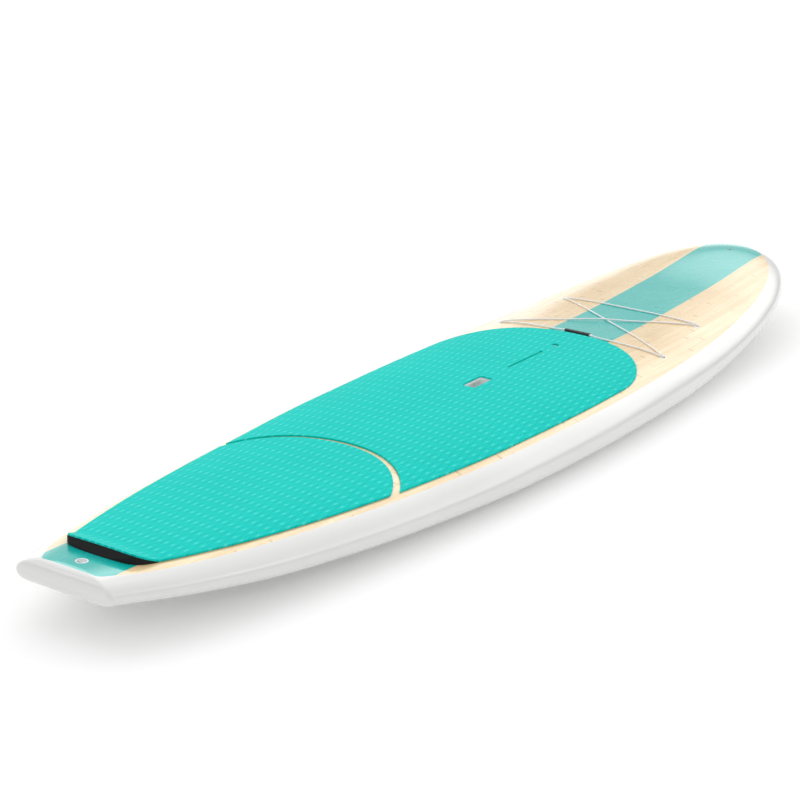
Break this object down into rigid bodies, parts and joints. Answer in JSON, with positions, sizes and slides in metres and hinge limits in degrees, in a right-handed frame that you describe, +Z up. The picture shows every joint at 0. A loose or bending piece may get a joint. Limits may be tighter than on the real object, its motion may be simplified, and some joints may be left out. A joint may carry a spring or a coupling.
{
  "type": "stand up paddleboard",
  "caption": "Rigid stand up paddleboard with bamboo deck, foam deck pads with a tail kick, recessed carry handle, laced deck cord, vent plug, leash plug and fin box.",
  "frame": {"origin": "middle of the board's length and width, on the surface that the board lies on", "axes": "+X to the nose, +Y to port, +Z up out of the deck"},
  "size_m": [3.3, 0.8122, 0.1899],
  "materials": {
    "white_gloss": "gloss",
    "foam": "matte",
    "dense_foam": "matte",
    "timber": "satin",
    "bamboo": "gloss",
    "teal_foam": "matte",
    "black_foam": "matte",
    "white_plastic": "satin",
    "grey_plastic": "satin",
    "black_plastic": "satin",
    "steel": "polished",
    "brass": "satin",
    "rubber": "matte",
    "silver_cord": "satin"
  },
  "bodies": {
    "board": {"hull_shell": "white_gloss", "deck_panel": "bamboo", "handle_block": "dense_foam", "fin_block": "dense_foam", "stringer": "timber", "foam_core_port_rear": "foam", "foam_core_port_middle": "foam", "foam_core_port_front": "foam", "foam_core_starboard_rear": "foam", "foam_core_starboard_middle": "foam", "foam_core_starboard_front": "foam", "tail_pad": "teal_foam", "kick_wedge": "black_foam", "main_pad_rear": "teal_foam", "main_pad_port": "teal_foam", "main_pad_starboard": "teal_foam", "main_pad_front": "teal_foam", "handle_cup": "white_plastic", "vent_housing": "white_plastic", "leash_cup": "white_plastic", "leash_bar": "steel", "nose_insert": "grey_plastic", "deck_cord": "silver_cord", "cord_sleeve": "black_plastic", "fin_box": "white_plastic", "cord_cup_front_port": "white_plastic", "cord_bar_front_port": "steel", "cord_cup_front_starboard": "white_plastic", "cord_bar_front_starboard": "steel", "cord_cup_rear_starboard": "white_plastic", "cord_bar_rear_starboard": "steel", "cord_cup_rear_port": "white_plastic", "cord_bar_rear_port": "steel"},
    "vent_seal": {"vent_seal": "rubber"},
    "vent_screw": {"vent_screw": "grey_plastic"},
    "fin_plate": {"fin_plate": "brass"},
    "fin_screw": {"fin_screw": "steel"}
  },
  "joints": [
    {"name": "vent_seal_lift", "type": "slide", "parent": "board", "child": "vent_seal", "axis": [0, 0, 1], "range_m": [0, 0.0025]},
    {"name": "vent_screw_turn", "type": "hinge", "parent": "vent_seal", "child": "vent_screw", "pos_m": [0.418, 0, 0.139], "axis": [0, 0, 1], "range_deg": [0, 720]},
    {"name": "fin_plate_slide", "type": "slide", "parent": "board", "child": "fin_plate", "axis": [0.9931, 0, -0.117], "range_m": [-0.1, 0.1]},
    {"name": "fin_screw_turn", "type": "hinge", "parent": "fin_plate", "child": "fin_screw", "pos_m": [-1.32, 0, 0.06223], "axis": [0.117, 0, 0.9931], "range_deg": [0, 720]}
  ],
  "couplings": [
    {"joint": "vent_screw_turn", "follows": "vent_seal_lift", "rad_per_m": 5026.5}
  ]
}
